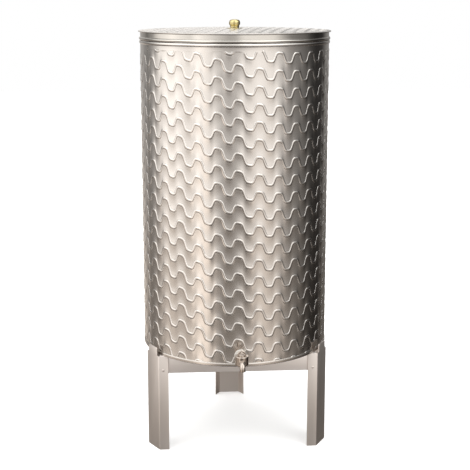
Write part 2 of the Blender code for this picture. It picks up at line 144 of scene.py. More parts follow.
def finish_mesh(name, bm, material, smooth_angle=35.0, place=None):
    """Makes the object of a piece from its bmesh, with its faces turned outwards."""
    if place is not None:
        bmesh.ops.transform(bm, matrix=place, verts=bm.verts)
    bmesh.ops.remove_doubles(bm, verts=bm.verts, dist=0.000002)
    bmesh.ops.recalc_face_normals(bm, faces=bm.faces)
    if bm.calc_volume(signed=True) < 0.0:
        bmesh.ops.reverse_faces(bm, faces=bm.faces)
    mesh = bpy.data.meshes.new(name)
    bm.to_mesh(mesh)
    bm.free()
    shade(mesh, smooth_angle)
    mesh.materials.append(material)
    piece = bpy.data.objects.new(name, mesh)
    bpy.context.scene.collection.objects.link(piece)
    return piece


def skin_rings(bm, rings, closed):
    """Joins rings of points into a skin: closed back to the first ring, or capped at both ends."""
    made = [[bm.verts.new(point) for point in ring] for ring in rings]
    count = len(rings[0])
    for i in range(len(made) - (0 if closed else 1)):
        lower, upper = made[i], made[(i + 1) % len(made)]
        for k in range(count):
            after = (k + 1) % count
            bm.faces.new([lower[k], lower[after], upper[after], upper[k]])
    if not closed:
        bm.faces.new(list(reversed(made[0])))
        bm.faces.new(made[-1])


def turns_round(steps):
    return [2 * pi * k / steps for k in range(steps)]


def spun_rings(points, steps):
    """Rings round Z through the points of a profile. One on the axis gets a ring of almost no size."""
    spun = [(max(r, 0.00001), z) for r, z in points]
    return [[(r * cos(a), r * sin(a), z) for a in turns_round(steps)] for r, z in spun]


def wave_at(turn):
    """How far the wave stands above its middle line, at a phase of the wave."""
    return WAVE_RISE / 2 * tanh(WAVE_SQUARE * cos(turn)) / tanh(WAVE_SQUARE)


def softened(turn, turn_per_metre):
    """How much of the swell is left at a phase: the sheet rises less where the wave runs steeply."""
    steep = 1 - tanh(WAVE_SQUARE * cos(turn)) ** 2
    slope = WAVE_RISE / 2 * WAVE_SQUARE * sin(turn) * steep / tanh(WAVE_SQUARE)
    return 1 / hypot(1.0, slope * turn_per_metre)


def sink_at(turn):
    """How far the rows have sunk at an angle round the wall: they run downhill across the front."""
    return ROW_SINK * (SINK_ONCE * sin(turn) + SINK_THRICE * sin(3 * turn))


def swell_at(share):
    """Rise of the embossed sheet, from 0 midway between two rows to the full swell on a row."""
    return SWELL * cos(pi / 2 * share) ** 4


def turned(name, corners, material, steps=SHELL_STEPS, place=None):
    """A piece turned round Z. A profile that starts on the axis is capped there."""
    bm = bmesh.new()
    skin_rings(bm, spun_rings(filleted(corners), steps), closed=corners[0][0] > 0.0)
    return finish_mesh(name, bm, material, place=place)


def node(tree, kind, values=None, **settings):
    """A node with its settings and its inputs: a value sets a socket, a socket or node is linked."""
    made = tree.nodes.new(kind)
    for key, value in settings.items():
        setattr(made, key, value)
    for key, value in (values or {}).items():
        if isinstance(value, bpy.types.Node):
            value = value.outputs[0]
        if isinstance(value, bpy.types.NodeSocket):
            tree.links.new(value, made.inputs[key])
        else:
            made.inputs[key].default_value = value
    return made


def calc(tree, operation, *values):
    """One step of arithmetic inside a tree, on sockets and numbers."""
    return node(tree, "ShaderNodeMath", dict(enumerate(values)), operation=operation).outputs[0]


def new_finish(name, metallic):
    """A material with its tree, its shader and the piece's own coordinates."""
    material = bpy.data.materials.new(name)
    material.use_nodes = True
    tree = material.node_tree
    shader = tree.nodes["Principled BSDF"]
    shader.inputs["Metallic"].default_value = metallic
    return material, tree, shader, node(tree, "ShaderNodeTexCoord").outputs["Object"]


def coloured(tree, shader, factor, colour, tint):
    """Colours a finish unevenly, between two tones."""
    ends = {"Factor": factor, "A": (*colour, 1.0), "B": (*tint, 1.0)}
    tones = node(tree, "ShaderNodeMix", ends, data_type="RGBA")
    tree.links.new(tones.outputs["Result"], shader.inputs["Base Color"])


def steel_finish(name, colour, tint, roughness, grain, brushing=0.2, ripple=0.0004, smears=0.10):
    """Stainless sheet: fine brush lines along it, slow changes of tone, rougher smears and ripples."""
    material, tree, shader, place = new_finish(name, 1.0)
    lines = node(tree, "ShaderNodeMapping", {"Vector": place, "Scale": grain})
    brush = node(tree, "ShaderNodeTexNoise", {"Vector": lines, "Scale": 1.0, "Detail": 4.0})
    slow = node(tree, "ShaderNodeTexNoise", {"Vector": place, "Scale": 7.0, "Detail": 2.0})
    coloured(tree, shader, slow, colour, tint)
    tree.links.new(calc(tree, "MULTIPLY_ADD", brush, smears, roughness), shader.inputs["Roughness"])
    dents = node(tree, "ShaderNodeTexNoise", {"Vector": place, "Scale": 16.0, "Detail": 1.0})
    waves = node(tree, "ShaderNodeBump", {"Height": dents, "Strength": 1.0, "Distance": ripple})
    scratch = {"Height": brush, "Strength": brushing, "Distance": 0.0001, "Normal": waves}
    tree.links.new(node(tree, "ShaderNodeBump", scratch).outputs[0], shader.inputs["Normal"])
    return material


RIBBED_STEEL = ((0.68, 0.65, 0.62), (0.62, 0.59, 0.56))
UP_THE_WALL = (420.0, 420.0, 9.0)
wall_steel = steel_finish("ribbed wall steel", *RIBBED_STEEL, 0.13, UP_THE_WALL)
hoop_top = skirt_low.z - SEAT
hoop_low = hoop_top - HOOP_HEIGHT
inside = wall_radius - SHEET
neck_radius = wall_radius - NECK_INSET
neck_inside = neck_radius - SHEET
neck_top = shell_high.z
hem_in = neck_radius - HEM_DEPTH
hem_low = neck_top - HEM_HEIGHT
wall = [(wall_radius, shell_low.z, CUT_EDGE), (wall_radius, hoop_low, HOOP_FILLET)]
wall += bead_points(wall_radius, hoop_low, HOOP_HEIGHT, HOOP_BEAD)
wall += [(wall_radius, hoop_top, FOLD), (neck_radius, hoop_top, FOLD), (neck_radius, neck_top, HEM_FOLD)]
wall += [(hem_in, neck_top, HEM_FOLD), (hem_in, hem_low, FOLD), (neck_inside, hem_low, CUT_EDGE)]
wall += [(neck_inside, hoop_top - SHEET, TIGHT_FOLD), (inside, hoop_top - 2 * SHEET, TIGHT_FOLD)]
wall += reversed(bead_points(inside, hoop_low, HOOP_HEIGHT, HOOP_BEAD))
wall += [(inside, hoop_low, TIGHT_FOLD), (inside, shell_low.z, CUT_EDGE)]
profile = filleted(wall)
steps = WAVES * SWELL_STEPS
face_low = profile[4].y + PLAIN_FOOT
face_high = hoop_low - PLAIN_TOP
count = ROWS * len(SWELL_LINES)
embossed = []
for row in range(ROWS):
    for share in SWELL_LINES:
        i = len(embossed)
        ring = []
        for a in turns_round(steps):
            phase = WAVES * (a - WAVE_TURN)
            z = base_z + LOWEST_ROW + ROW_PITCH * (row + share / 2) + wave_at(phase) - sink_at(a - SINK_TURN)
            z = min(max(z, face_low + RING_GAP * i), face_high - RING_GAP * (count - i))
            fade = min(1.0, (z - face_low) / SWELL_FADE, (face_high - z) / SWELL_FADE)
            swell = swell_at(share) * softened(phase, WAVES / wall_radius)
            r = wall_radius + (swell - SWELL_SINK) * fade
            ring.append((r * cos(a), r * sin(a), z))
        embossed.append(ring)
bm = bmesh.new()
skin_rings(bm, spun_rings(profile[:5], steps) + embossed + spun_rings(profile[5:], steps), closed=True)
shell = finish_mesh("shell_sheet", bm, wall_steel, place=at_tank)
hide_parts("tank_wall")
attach(shell, "tank")

# Each row of waves has a narrow rib along its middle, where the embossing roll creased the sheet.
# One rib is drawn round the wall and repeated up it, each row in phase with the next.
WAVE_STEPS = 24
RIB_WIDTH = 0.0064
RIB_HEIGHT = 0.00050
RIB_SINK = 0.0002
RIB_POINTS = 7
THINNEST = 0.03
rib_radius = wall_radius + SWELL - SWELL_SINK


def new_tree(name, sizes):
    """A tree of Geometry Nodes with named inputs for its sizes."""
    tree = bpy.data.node_groups.new(name, "GeometryNodeTree")
    for label, value in sizes.items():
        kind = "NodeSocketInt" if isinstance(value, int) else "NodeSocketFloat"
        if isinstance(value, bpy.types.Material):
            kind = "NodeSocketMaterial"
        tree.interface.new_socket(label, in_out="INPUT", socket_type=kind)
    tree.interface.new_socket("Geometry", in_out="OUTPUT", socket_type="NodeSocketGeometry")
    return tree, tree.nodes.new("NodeGroupInput").outputs


def settle(piece):
    """Keeps what a piece's modifiers make as its plain mesh."""
    bpy.context.view_layer.update()
    mesh = bpy.data.meshes.new_from_object(piece.evaluated_get(bpy.context.evaluated_depsgraph_get()))
    piece.modifiers.clear()
    piece.data = mesh


def grown(name, tree, sizes):
    """Runs a tree with its sizes and keeps what it makes."""
    piece = bpy.data.objects.new(name, bpy.data.meshes.new(name))
    bpy.context.scene.collection.objects.link(piece)
    modifier = piece.modifiers.new("grow", "NODES")
    modifier.node_group = tree
    for socket in tree.interface.items_tree:
        if socket.in_out == "INPUT":
            modifier[socket.identifier] = sizes[socket.name]
    settle(piece)
    piece.data.name = name
    while piece.data.materials[0] is None:
        piece.data.materials.pop(index=0)
    return piece


def vector(tree, **parts):
    """A vector from its X, Y and Z, each 0 if it isn't given."""
    return node(tree, "ShaderNodeCombineXYZ", parts)


def parts_of(tree, field):
    """The X, Y and Z of the Position or the Tangent, wherever they are used."""
    return node(tree, "ShaderNodeSeparateXYZ", {"Vector": node(tree, "GeometryNodeInput" + field)}).outputs


def rib_profile(tree, given, upright):
    """Cross-section of a rib: it swells smoothly out of the sheet and is closed behind it."""
    line = node(tree, "GeometryNodeCurvePrimitiveLine", {"Start": (0, 0, 0), "End": (0, 1, 0)})
    fine = node(tree, "GeometryNodeResampleCurve", {"Curve": line, "Count": RIB_POINTS})
    along = calc(tree, "SUBTRACT", parts_of(tree, "Position")["Y"], 0.5)
    bulge = calc(tree, "COSINE", calc(tree, "MULTIPLY", along, 2 * pi))
    swell = calc(tree, "MULTIPLY", calc(tree, "MULTIPLY_ADD", bulge, 0.5, 0.5), given["Height"])
    edge = calc(tree, "GREATER_THAN", calc(tree, "ABSOLUTE", along), 0.49)
    out = calc(tree, "SUBTRACT", swell, calc(tree, "MULTIPLY", edge, given["Sink"]))
    across = calc(tree, "MULTIPLY", along, given["Width"])
    axes = {"X": out, "Y": across}
    if upright:
        axes = {"X": across, "Y": calc(tree, "MULTIPLY", out, -1.0)}
    shaped = node(tree, "GeometryNodeSetPosition", {"Geometry": fine, "Position": vector(tree, **axes)})
    return node(tree, "GeometryNodeSetSplineCyclic", {"Geometry": shaped, "Cyclic": True})


def stepped_wave(tree, phase, given, turn_per_metre):
    """A wave with flat crests and steep flanks, and how far the sheet drops back on its flanks."""
    square = given["Square"]
    steep = calc(tree, "TANH", calc(tree, "MULTIPLY", calc(tree, "COSINE", phase), square))
    half = calc(tree, "DIVIDE", calc(tree, "MULTIPLY", given["Rise"], 0.5), calc(tree, "TANH", square))
    rest = calc(tree, "SUBTRACT", 1.0, calc(tree, "POWER", steep, 2.0))
    slope = calc(tree, "MULTIPLY", calc(tree, "MULTIPLY", half, square), calc(tree, "SINE", phase))
    slope = calc(tree, "MULTIPLY", calc(tree, "MULTIPLY", slope, rest), turn_per_metre)
    left = calc(tree, "DIVIDE", 1.0, calc(tree, "SQRT", calc(tree, "MULTIPLY_ADD", slope, slope, 1.0)))
    drop = calc(tree, "MULTIPLY", calc(tree, "SUBTRACT", 1.0, left), given["Swell"])
    return calc(tree, "MULTIPLY", steep, half), drop


def stacked(tree, count, start, step, row):
    """A row repeated from start on, a step apart."""
    spots = node(tree, "GeometryNodeMeshLine", {"Count": count, "Start Location": start, "Offset": step})
    placed = node(tree, "GeometryNodeInstanceOnPoints", {"Points": spots, "Instance": row})
    return node(tree, "GeometryNodeRealizeInstances", {"Geometry": placed})


def clipped(tree, curves, gone, backward):
    """Drops the points of curves where gone is set, and turns the runs left over that go backward."""
    edges = node(tree, "GeometryNodeCurveToMesh", {"Curve": curves})
    left = node(tree, "GeometryNodeDeleteGeometry", {"Geometry": edges, "Selection": gone})
    runs = node(tree, "GeometryNodeMeshToCurve", {"Mesh": left})
    share = node(tree, "GeometryNodeFieldOnDomain", {"Value": backward}, domain="POINT", data_type="FLOAT")
    wrong = calc(tree, "GREATER_THAN", share, 0.5)
    return node(tree, "GeometryNodeReverseCurve", {"Curve": runs, "Selection": wrong})


def slope_between(tree, value, low, high):
    """0 at low, 1 at high, and held beyond them."""
    share = calc(tree, "DIVIDE", calc(tree, "SUBTRACT", value, low), calc(tree, "SUBTRACT", high, low))
    return node(tree, "ShaderNodeClamp", {"Value": share})


def thinned_by(tree, one, other):
    """Size of a rib from how far it is from its ends: full, or almost nothing at either end."""
    return calc(tree, "MULTIPLY_ADD", calc(tree, "MINIMUM", one, other), 1 - THINNEST, THINNEST)


def dress(tree, geometry, material):
    """Ends a tree: its instances made real, smooth and in their material."""
    real = node(tree, "GeometryNodeRealizeInstances", {"Geometry": geometry})
    smooth = node(tree, "GeometryNodeSetShadeSmooth", {"Geometry": real})
    dressed = node(tree, "GeometryNodeSetMaterial", {"Geometry": smooth, "Material": material})
    node(tree, "NodeGroupOutput", {0: dressed})


def ribbed(tree, runs, given, fade, upright):
    """Sweeps the rib's section along its runs, fading it out where they end."""
    standing = node(tree, "GeometryNodeSetCurveNormal", {"Curve": runs}, mode="Z_UP")
    scaled = node(tree, "GeometryNodeSetCurveRadius", {"Curve": standing, "Radius": fade})
    sweep = {"Curve": scaled, "Profile Curve": rib_profile(tree, given, upright), "Fill Caps": True}
    dress(tree, node(tree, "GeometryNodeCurveToMesh", sweep), given["Material"])


wall_ribs = {"Rows": ROWS, "Row Pitch": ROW_PITCH, "Lowest Row": base_z + LOWEST_ROW,
             "Radius": rib_radius, "Axis Y": tank_axis.y, "Waves": WAVES, "Steps": WAVE_STEPS,
             "Rise": WAVE_RISE, "Square": WAVE_SQUARE, "Swell": SWELL, "Turn": WAVE_TURN,
             "Sink Depth": ROW_SINK, "Sink Turn": SINK_TURN, "Low End": face_low,
             "High End": face_high, "Fade": SWELL_FADE, "Width": RIB_WIDTH, "Height": RIB_HEIGHT,
             "Sink": RIB_SINK, "Material": wall_steel}
tree, given = new_tree("wall ribs", wall_ribs)
points = calc(tree, "MULTIPLY", given["Waves"], given["Steps"])
circle = node(tree, "GeometryNodeCurvePrimitiveCircle", {"Resolution": points, "Radius": given["Radius"]})
spot = parts_of(tree, "Position")
angle = calc(tree, "ARCTAN2", spot["Y"], spot["X"])
phase = calc(tree, "MULTIPLY", calc(tree, "SUBTRACT", angle, given["Turn"]), given["Waves"])
wave, drop = stepped_wave(tree, phase, given, calc(tree, "DIVIDE", given["Waves"], given["Radius"]))
sunk = calc(tree, "SUBTRACT", angle, given["Sink Turn"])
slow = calc(tree, "MULTIPLY", calc(tree, "SINE", sunk), SINK_ONCE)
quick = calc(tree, "MULTIPLY", calc(tree, "SINE", calc(tree, "MULTIPLY", sunk, 3.0)), SINK_THRICE)
sink = calc(tree, "MULTIPLY", calc(tree, "ADD", slow, quick), given["Sink Depth"])
inward = calc(tree, "MULTIPLY", calc(tree, "DIVIDE", drop, given["Radius"]), -1.0)
lift = vector(tree, X=calc(tree, "MULTIPLY", spot["X"], inward),
              Y=calc(tree, "MULTIPLY", spot["Y"], inward), Z=calc(tree, "SUBTRACT", wave, sink))
path = node(tree, "GeometryNodeSetPosition", {"Geometry": circle, "Offset": lift})
start = vector(tree, Y=given["Axis Y"], Z=given["Lowest Row"])
loops = stacked(tree, given["Rows"], start, vector(tree, Z=given["Row Pitch"]), path)
too_low = calc(tree, "LESS_THAN", spot["Z"], given["Low End"])
too_high = calc(tree, "GREATER_THAN", spot["Z"], given["High End"])
heading = parts_of(tree, "Tangent")
across = calc(tree, "MULTIPLY", calc(tree, "SUBTRACT", spot["Y"], given["Axis Y"]), heading["X"])
backward = calc(tree, "LESS_THAN", calc(tree, "MULTIPLY", spot["X"], heading["Y"]), across)
runs = clipped(tree, loops, calc(tree, "MAXIMUM", too_low, too_high), backward)
low_full = calc(tree, "ADD", given["Low End"], given["Fade"])
high_full = calc(tree, "SUBTRACT", given["High End"], given["Fade"])
up = slope_between(tree, spot["Z"], given["Low End"], low_full)
down = slope_between(tree, spot["Z"], given["High End"], high_full)
ribbed(tree, runs, given, thinned_by(tree, up, down), upright=False)
ribs = grown("shell_wave_ribs", tree, wall_ribs)
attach(ribs, "tank")

# The wall's weld seam runs up the back, where the two edges of the rolled sheet meet. It is a flat
# planished strip, a little proud of the sheet, with the fine ripple of the welding wheel.
SEAM_WIDTH = 0.0060
SEAM_HEIGHT = 0.0009
SEAM_STEPS = 220
SEAM_RIPPLE = 0.00008
SEAM_STOP = 0.001
SEAM_OUTLINE = [(-0.5, -0.5), (-0.42, 0.75), (-0.25, 1.0), (0.25, 1.0), (0.42, 0.75), (0.5, -0.5)]
seam_low = rim_high.z + SEAM_STOP
seam_high = hoop_low - SEAM_STOP
sections = []
for k in range(SEAM_STEPS + 1):
    z = seam_low + (seam_high - seam_low) * k / SEAM_STEPS
    proud = SEAM_HEIGHT + SEAM_RIPPLE * (k % 2)
    sections.append([(SEAM_WIDTH * u, wall_radius + proud * h, z) for u, h in SEAM_OUTLINE])
bm = bmesh.new()
skin_rings(bm, sections, closed=False)
seam = finish_mesh("shell_seam", bm, wall_steel, place=at_tank)
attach(seam, "tank")

# The bottom is a shallow pressed pan set up inside the wall's foot, and the chime is a strip
# folded round the foot, which closes the joint and takes the tank's weight on the stand.
PAN_RAISE = 0.0085
PAN_DISH = 0.0040
PAN_SLOPES = [(0.35, 0.82), (0.7, 0.35)]
PAN_BOW = 0.02
CHIME_DEPTH = 0.0016
plain_steel = steel_finish("plain sheet steel", (0.62, 0.58, 0.54), (0.56, 0.53, 0.50), 0.20,
                           (60.0, 60.0, 60.0), ripple=0.0006)
pan_edge = inside - SEAT
pan_top = base_z + PAN_RAISE
pan_middle = pan_top - PAN_DISH
foot_z = shell_low.z
dish = [(share * pan_edge, pan_top - PAN_DISH * drop) for share, drop in PAN_SLOPES]
pan = [(0.0, pan_middle, 0.0)] + [(r, z, PAN_BOW) for r, z in dish]
pan += [(pan_edge - 0.006, pan_top, 0.006), (pan_edge, pan_top - 0.003, 0.002)]
pan += [(pan_edge, foot_z, CUT_EDGE), (pan_edge - SHEET, foot_z, CUT_EDGE)]
pan += [(pan_edge - SHEET, pan_top - 0.0034, 0.0014), (pan_edge - 0.0065, pan_top - SHEET, 0.006)]
pan += [(r, z - SHEET, PAN_BOW) for r, z in reversed(dish)] + [(0.0, pan_middle - SHEET, 0.0)]
bottom = turned("bottom_pan", pan, plain_steel, 144, at_tank)
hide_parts("tank_bottom")
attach(bottom, "tank")
chime_out = wall_radius + CHIME_DEPTH
chime_in = rim_high.x - CHIME_DEPTH - 2 * SHEET - 3 * SEAT
chime_seat = base_z + SHEET + SEAT
chime = [(chime_out, base_z, 0.0010), (chime_out, rim_high.z - 0.0022, FOLD)]
chime += [(chime_out - 0.0004, rim_high.z, 0.0007), (wall_radius + SEAT, rim_high.z, CUT_EDGE)]
chime += [(wall_radius + SEAT, chime_seat, 0.0003), (chime_in, chime_seat, 0.0003)]
chime += [(chime_in, base_z, 0.0003)]
bead = turned("bottom_chime", chime, plain_steel, place=at_tank)
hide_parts("bottom_rim")
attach(bead, "tank")

# The lid is a disc of the same ribbed sheet, crowned a little and rolled over at its edge. The
# rows of ribs run across it from side to side, and stop short of the rolled edge and the knob.
LID_CROWN = 0.0040
LID_DROP = 0.0030
LID_SHEET_REACH = 0.205
LID_EDGE_FLAT = 0.0042
LID_ROWS = 11
LID_RIB_STEPS = 240
LID_RIB_INSET = 0.0085
LID_RINGS = 64
KNOB_CLEAR = 0.0195
STUD_HOLE = 0.0030
LID_TURN = radians(-11.7)
rim_radius = lid_high.x
lid_z = lid_low.z + LID_DROP


def crown(radius):
    return LID_CROWN * (1 - (radius / rim_radius) ** 2)


ACROSS_LID = (9.0, 420.0, 420.0)
lid_steel = steel_finish("ribbed lid steel", *RIBBED_STEEL, 0.15, ACROSS_LID)
reaches = [STUD_HOLE + (LID_SHEET_REACH - STUD_HOLE) * k / LID_RINGS for k in range(LID_RINGS + 1)]
disc = [(r, lid_z + crown(r), 0.0) for r in reaches]
disc += [(rim_radius - 0.0020, lid_z + 0.0002, 0.0012), (rim_radius, lid_z - 0.0008, FOLD)]
disc += [(rim_radius - 0.0005, lid_z - 0.0023, FOLD), (rim_radius - 0.0026, lid_low.z, FOLD)]
disc += [(rim_radius - LID_EDGE_FLAT, lid_low.z, FOLD)]
disc += [(r, lid_z + crown(r) - SHEET, 0.0) for r in reversed(reaches)]
lid_disc = turned("lid_disc", disc, lid_steel)
wave_length = 2 * pi * wall_radius / WAVES
for vertex in lid_disc.data.vertices:
    spot = Matrix.Rotation(-LID_TURN, 3, "Z") @ vertex.co
    phase = 2 * pi * spot.x / wave_length
    row = (spot.y - wave_at(phase)) / ROW_PITCH + LID_ROWS / 2 - 0.5
    away = hypot(spot.x, spot.y)
    ends = (away - KNOB_CLEAR, rim_radius - SWELL_FADE - away)
    fade = max(0.0, min(1.0, *[end / SWELL_FADE for end in ends]))
    swell = swell_at(2 * abs(row - round(row))) * softened(phase, 2 * pi / wave_length)
    vertex.co.z += (swell - SWELL_SINK) * fade
    vertex.co.y += tank_axis.y
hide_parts("lid_plate")
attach(lid_disc, "lid")
lid_ribs = {"Rows": LID_ROWS, "Row Pitch": ROW_PITCH, "Reach": rim_radius - LID_RIB_INSET,
            "Clear": KNOB_CLEAR, "Points": LID_RIB_STEPS, "Axis Y": tank_axis.y,
            "Level": lid_z + SWELL - SWELL_SINK, "Crown": LID_CROWN, "Rim": rim_radius,
            "Wave Length": wave_length, "Rise": WAVE_RISE, "Square": WAVE_SQUARE, "Swell": SWELL,
            "Fade": SWELL_FADE, "Turn": LID_TURN, "Width": RIB_WIDTH, "Height": RIB_HEIGHT,
            "Sink": RIB_SINK, "Material": lid_steel}
tree, given = new_tree("lid ribs", lid_ribs)
reach = given["Reach"]
ends = {"Start": vector(tree, X=calc(tree, "MULTIPLY", reach, -1.0)), "End": vector(tree, X=reach)}
line = node(tree, "GeometryNodeCurvePrimitiveLine", ends)
fine = node(tree, "GeometryNodeResampleCurve", {"Curve": line, "Count": given["Points"]})
half = calc(tree, "MULTIPLY", calc(tree, "SUBTRACT", given["Rows"], 1.0), -0.5)
start = vector(tree, Y=calc(tree, "MULTIPLY", half, given["Row Pitch"]))
laid = stacked(tree, given["Rows"], start, vector(tree, Y=given["Row Pitch"]), fine)
spot = parts_of(tree, "Position")
turn_per_metre = calc(tree, "DIVIDE", 2 * pi, given["Wave Length"])
phase = calc(tree, "MULTIPLY", spot["X"], turn_per_metre)
wave, drop = stepped_wave(tree, phase, given, turn_per_metre)
shift = vector(tree, Y=wave, Z=calc(tree, "MULTIPLY", drop, -1.0))
waved = node(tree, "GeometryNodeSetPosition", {"Geometry": laid, "Offset": shift})
away = calc(tree, "SQRT", calc(tree, "ADD", *[calc(tree, "POWER", spot[side], 2.0) for side in "XY"]))
outside = calc(tree, "GREATER_THAN", away, reach)
near = calc(tree, "LESS_THAN", away, given["Clear"])
backward = calc(tree, "LESS_THAN", parts_of(tree, "Tangent")["X"], 0.0)
runs = clipped(tree, waved, calc(tree, "MAXIMUM", outside, near), backward)
edge = slope_between(tree, away, reach, calc(tree, "SUBTRACT", reach, given["Fade"]))
middle = slope_between(tree, away, given["Clear"], calc(tree, "ADD", given["Clear"], given["Fade"]))
fade = {"Geometry": runs, "Name": "fade", "Value": thinned_by(tree, edge, middle)}
thinned = node(tree, "GeometryNodeStoreNamedAttribute", fade)
facing = vector(tree, Z=given["Turn"])
faced = node(tree, "GeometryNodeTransform", {"Geometry": thinned, "Rotation": facing})
share = calc(tree, "SUBTRACT", 1.0, calc(tree, "POWER", calc(tree, "DIVIDE", away, given["Rim"]), 2.0))
level = calc(tree, "MULTIPLY_ADD", share, given["Crown"], given["Level"])
raised = vector(tree, Y=given["Axis Y"], Z=level)
domed = node(tree, "GeometryNodeSetPosition", {"Geometry": faced, "Offset": raised})
kept = node(tree, "GeometryNodeInputNamedAttribute", {"Name": "fade"})
ribbed(tree, domed, given, kept, upright=True)
top_ribs = grown("lid_wave_ribs", tree, lid_ribs)
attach(top_ribs, "lid")

# The lid's skirt is a plain polished band that slips over the tank's neck. Its foot is rolled into
# a small hem, which was nipped by hand and wanders up and down a little as it goes round.
SKIRT_BEAD = 0.0026
SKIRT_BEAD_HEIGHT = 0.0070
HEM_LIFT = 0.0003
HEM_WANDER = 0.00022
skirt_steel = steel_finish("polished band steel", (0.59, 0.565, 0.52), (0.53, 0.505, 0.475), 0.08,
                           (90.0, 90.0, 900.0), brushing=0.04, ripple=0.0014, smears=0.06)
hem_z = skirt_low.z + HEM_LIFT
skirt = [(wall_radius, skirt_high.z, CUT_EDGE), (wall_radius, hem_z + SKIRT_BEAD_HEIGHT, FOLD)]
skirt += reversed(bead_points(wall_radius, hem_z, SKIRT_BEAD_HEIGHT, SKIRT_BEAD))
skirt += [(wall_radius, hem_z, CUT_EDGE), (inside, hem_z, CUT_EDGE), (inside, skirt_high.z, CUT_EDGE)]
band = turned("lid_band", skirt, skirt_steel)
for vertex in band.data.vertices:
    turn = atan2(vertex.co.y, vertex.co.x)
    low = 1 - (vertex.co.z - skirt_low.z) / (skirt_high.z - skirt_low.z)
    wander = sin(5 * turn + 1.0) + sin(11 * turn) + sin(17 * turn + 2.0)
    vertex.co.z += HEM_WANDER * max(wander, 0.0) * low
    vertex.co.y += tank_axis.y
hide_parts("lid_skirt")
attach(band, "lid")

# The knob is turned brass, lacquered, with its stud in one piece. It stands on a dished brass
# washer, and a steel nut holds it from inside the lid.
KNOB_STEPS = 64
KNOB_BASE = 0.0106
KNOB_WAIST = 0.0102
STUD = 0.0025
NUT_BORE = 0.0028
knob_low, knob_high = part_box("lid_knob")
washer_low, washer_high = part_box("lid_washer")
nut_low, nut_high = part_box("lid_nut")
knob_radius = knob_high.x
knob_foot = washer_high.z + SEAT
knob_tall = knob_high.z - knob_foot


def metal_finish(name, colour, roughness, scale, wear, marks=0.0002):
    """Cast or turned metal with a hard polish: faint marks and a little uneven gloss."""
    material, tree, shader, place = new_finish(name, 1.0)
    cloud = node(tree, "ShaderNodeTexNoise", {"Vector": place, "Scale": scale, "Detail": 3.0})
    coloured(tree, shader, cloud, colour, [part * 0.88 for part in colour])
    tree.links.new(calc(tree, "MULTIPLY_ADD", cloud, wear, roughness), shader.inputs["Roughness"])
    bump = node(tree, "ShaderNodeBump", {"Height": cloud, "Strength": 0.4, "Distance": marks})
    tree.links.new(bump.outputs[0], shader.inputs["Normal"])
    return material


brass = metal_finish("lacquered brass", (0.50, 0.415, 0.18), 0.12, 260.0, 0.10)
brass.node_tree.nodes["Principled BSDF"].inputs["Coat Weight"].default_value = 1.0
brass.node_tree.nodes["Principled BSDF"].inputs["Coat Roughness"].default_value = 0.1
grip = [(0.0, knob_low.z, 0.0), (STUD, knob_low.z, 0.0004), (STUD, knob_foot, 0.0)]
grip += [(KNOB_BASE, knob_foot, 0.0006), (KNOB_WAIST, knob_foot + 0.16 * knob_tall, 0.002)]
grip += [(knob_radius, knob_foot + 0.36 * knob_tall, 0.002)]
grip += [(knob_radius, knob_foot + 0.62 * knob_tall, 0.003)]
grip += [(knob_radius * 0.86, knob_foot + 0.90 * knob_tall, 0.004)]
grip += [(knob_radius * 0.45, knob_high.z, 0.006), (0.0, knob_high.z, 0.0)]
knob = turned("lid_knob_turned", grip, brass, KNOB_STEPS, at_tank)
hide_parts("lid_knob")
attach(knob, "lid")
washer_radius = washer_high.x
thick = washer_high.z - washer_low.z
dish = [(STUD_HOLE, washer_low.z + 0.4 * thick, 0.0), (STUD_HOLE, washer_high.z, 0.0002)]
dish += [(washer_radius * 0.62, washer_high.z, 0.002), (washer_radius, washer_low.z + 0.35 * thick, 0.0005)]
dish += [(washer_radius, washer_low.z, 0.0003), (washer_radius * 0.62, washer_low.z + 0.4 * thick, 0.001)]
washer = turned("lid_washer_dished", dish, brass, KNOB_STEPS, at_tank)
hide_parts("lid_washer")
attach(washer, "lid")


def nut_rings(flats, bore, low, high, per_side=8):
    """Rings of a hexagon nut with both faces chamfered."""
    face = flats * 0.475
    rings = [[] for _ in range(6)]
    for a in turns_round(6 * per_side):
        off = (a + pi / 6) % (pi / 3) - pi / 6
        reach = flats / 2 / cos(off)
        drop = max(reach - face, 0.0) * tan(radians(30))
        outline = [(bore, low), (face, low), (reach, low + drop)]
        outline += [(reach, high - drop), (face, high), (bore, high)]
        for ring, (r, z) in zip(rings, outline):
            ring.append((r * cos(a), r * sin(a), z))
    return rings


zinc = metal_finish("plain nut steel", (0.60, 0.60, 0.58), 0.28, 400.0, 0.15)
bm = bmesh.new()
skin_rings(bm, nut_rings(nut_high.y - nut_low.y, NUT_BORE, nut_low.z, nut_high.z), closed=True)
nut = finish_mesh("lid_nut_chamfered", bm, zinc, 25.0, at_tank)
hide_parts("lid_nut")
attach(nut, "lid")

# The tap's boss is a threaded steel collar, welded into the wall from outside with one thin ring
# of weld, which follows the wall's curve.
WELD_RISE = 0.0016
WELD_RUN = 0.0022
WELD_BITE = 0.0003
WELD_SINK = 0.0002
WELD_ROOT = 0.0012
WELD_RINGS = 7
TAP_STEPS = 64
BOSS_BORE = 0.0088
tap_steel = metal_finish("boss steel", (0.58, 0.56, 0.53), 0.26, 300.0, 0.20)
boss_low, boss_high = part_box("tap_boss")
boss_radius = (boss_high.x - boss_low.x) / 2
tap_z = (boss_low.z + boss_high.z) / 2
wall_face = tank_axis.y - wall_radius
out_of_wall = Matrix.Translation((0.0, wall_face, tap_z)) @ Matrix.Rotation(pi / 2, 4, "X")
boss_end = wall_face - boss_low.y
boss_foot = wall_face - boss_high.y
collar = [(BOSS_BORE, boss_foot, 0.0006), (BOSS_BORE, boss_end, 0.0006), (boss_radius, boss_end, 0.0010)]
collar += [(boss_radius, boss_foot, 0.0006)]
boss = turned("tap_boss_collar", collar, tap_steel, TAP_STEPS, out_of_wall)
